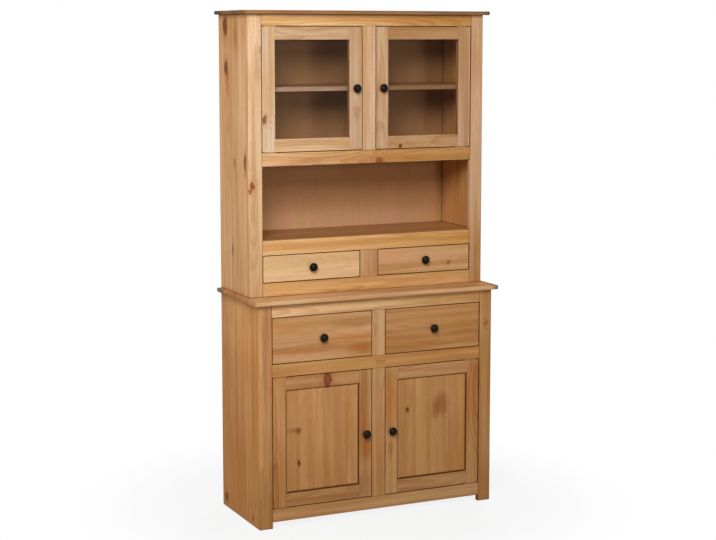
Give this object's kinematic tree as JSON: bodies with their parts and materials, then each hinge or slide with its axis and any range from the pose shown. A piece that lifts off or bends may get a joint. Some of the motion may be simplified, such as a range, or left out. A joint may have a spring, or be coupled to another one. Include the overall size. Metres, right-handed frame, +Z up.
{
  "type": "trastero cabinet",
  "caption": "Pine dresser: a panelled cupboard base with drawers, and a shallower hutch on it with small drawers, an open niche and glazed doors.",
  "frame": {"origin": "on the floor, under the middle of the cabinet's overall box, knobs included", "axes": "+X to the right seen from the front, +Y from the front to the back, +Z up"},
  "size_m": [1, 0.408, 1.89],
  "materials": {
    "frame_pine": "waxed honey pine, satin",
    "side_pine": "waxed glued-up pine, satin",
    "back_pine": "waxed pine, satin",
    "inside_pine": "thinly waxed pine, dull",
    "door_pine": "waxed honey pine, satin",
    "panel_pine": "waxed pine, satin",
    "drawer_pine": "waxed pine, satin",
    "pane_glass": "clear float glass",
    "knob_iron": "black, half gloss",
    "pivot_brass": "plain, slightly dull",
    "catch_plastic": "brown moulded"
  },
  "bodies": {
    "cabinet": {"base_sides": "side_pine", "base_stiles": "frame_pine", "base_bottom_rail": "frame_pine", "base_mid_rail": "frame_pine", "base_top_rail": "frame_pine", "base_centre_stiles": "frame_pine", "base_top_board": "frame_pine", "base_back_panel": "back_pine", "base_shelves": "inside_pine", "hutch_sides": "side_pine", "hutch_stiles": "frame_pine", "hutch_bottom_rail": "frame_pine", "hutch_drawer_rail": "frame_pine", "hutch_niche_rail": "frame_pine", "hutch_top_rail": "frame_pine", "hutch_centre_stiles": "frame_pine", "hutch_top_board": "frame_pine", "hutch_back_panel": "back_pine", "hutch_niche_floor": "inside_pine", "hutch_cupboard_floor": "inside_pine", "hutch_shelf": "inside_pine", "shelf_cleats": "inside_pine", "door_stops": "inside_pine", "door_catches": "catch_plastic", "frame_pivot_leaves": "pivot_brass", "drawer_runners": "inside_pine"},
    "base_left_door": {"base_left_door_stiles": "door_pine", "base_left_door_rails": "door_pine", "base_left_door_panel": "panel_pine", "base_left_door_knob": "knob_iron", "base_left_door_pivot_leaves": "pivot_brass"},
    "base_right_door": {"base_right_door_stiles": "door_pine", "base_right_door_rails": "door_pine", "base_right_door_panel": "panel_pine", "base_right_door_knob": "knob_iron", "base_right_door_pivot_leaves": "pivot_brass"},
    "glass_left_door": {"glass_left_door_stiles": "door_pine", "glass_left_door_rails": "door_pine", "glass_left_door_pane": "pane_glass", "glass_left_door_knob": "knob_iron", "glass_left_door_pivot_leaves": "pivot_brass", "glass_left_door_beads": "door_pine"},
    "glass_right_door": {"glass_right_door_stiles": "door_pine", "glass_right_door_rails": "door_pine", "glass_right_door_pane": "pane_glass", "glass_right_door_knob": "knob_iron", "glass_right_door_pivot_leaves": "pivot_brass", "glass_right_door_beads": "door_pine"},
    "base_left_drawer": {"base_left_drawer_front": "drawer_pine", "base_left_drawer_box": "inside_pine", "base_left_drawer_knob": "knob_iron"},
    "base_right_drawer": {"base_right_drawer_front": "drawer_pine", "base_right_drawer_box": "inside_pine", "base_right_drawer_knob": "knob_iron"},
    "hutch_left_drawer": {"hutch_left_drawer_front": "drawer_pine", "hutch_left_drawer_box": "inside_pine", "hutch_left_drawer_knob": "knob_iron"},
    "hutch_right_drawer": {"hutch_right_drawer_front": "drawer_pine", "hutch_right_drawer_box": "inside_pine", "hutch_right_drawer_knob": "knob_iron"}
  },
  "joints": [
    {"name": "base_left_door_hinge", "type": "hinge", "parent": "cabinet", "child": "base_left_door", "pos_m": [-0.411, -0.1685, 0], "axis": [0, 0, -1], "range_deg": [0, 120]},
    {"name": "base_right_door_hinge", "type": "hinge", "parent": "cabinet", "child": "base_right_door", "pos_m": [0.411, -0.1685, 0], "axis": [0, 0, 1], "range_deg": [0, 120]},
    {"name": "glass_left_door_hinge", "type": "hinge", "parent": "cabinet", "child": "glass_left_door", "pos_m": [-0.411, -0.0835, 0], "axis": [0, 0, -1], "range_deg": [0, 120]},
    {"name": "glass_right_door_hinge", "type": "hinge", "parent": "cabinet", "child": "glass_right_door", "pos_m": [0.411, -0.0835, 0], "axis": [0, 0, 1], "range_deg": [0, 120]},
    {"name": "base_left_drawer_slide", "type": "slide", "parent": "cabinet", "child": "base_left_drawer", "axis": [0, -1, 0], "range_m": [0, 0.25]},
    {"name": "base_right_drawer_slide", "type": "slide", "parent": "cabinet", "child": "base_right_drawer", "axis": [0, -1, 0], "range_m": [0, 0.25]},
    {"name": "hutch_left_drawer_slide", "type": "slide", "parent": "cabinet", "child": "hutch_left_drawer", "axis": [0, -1, 0], "range_m": [0, 0.18]},
    {"name": "hutch_right_drawer_slide", "type": "slide", "parent": "cabinet", "child": "hutch_right_drawer", "axis": [0, -1, 0], "range_m": [0, 0.18]}
  ]
}
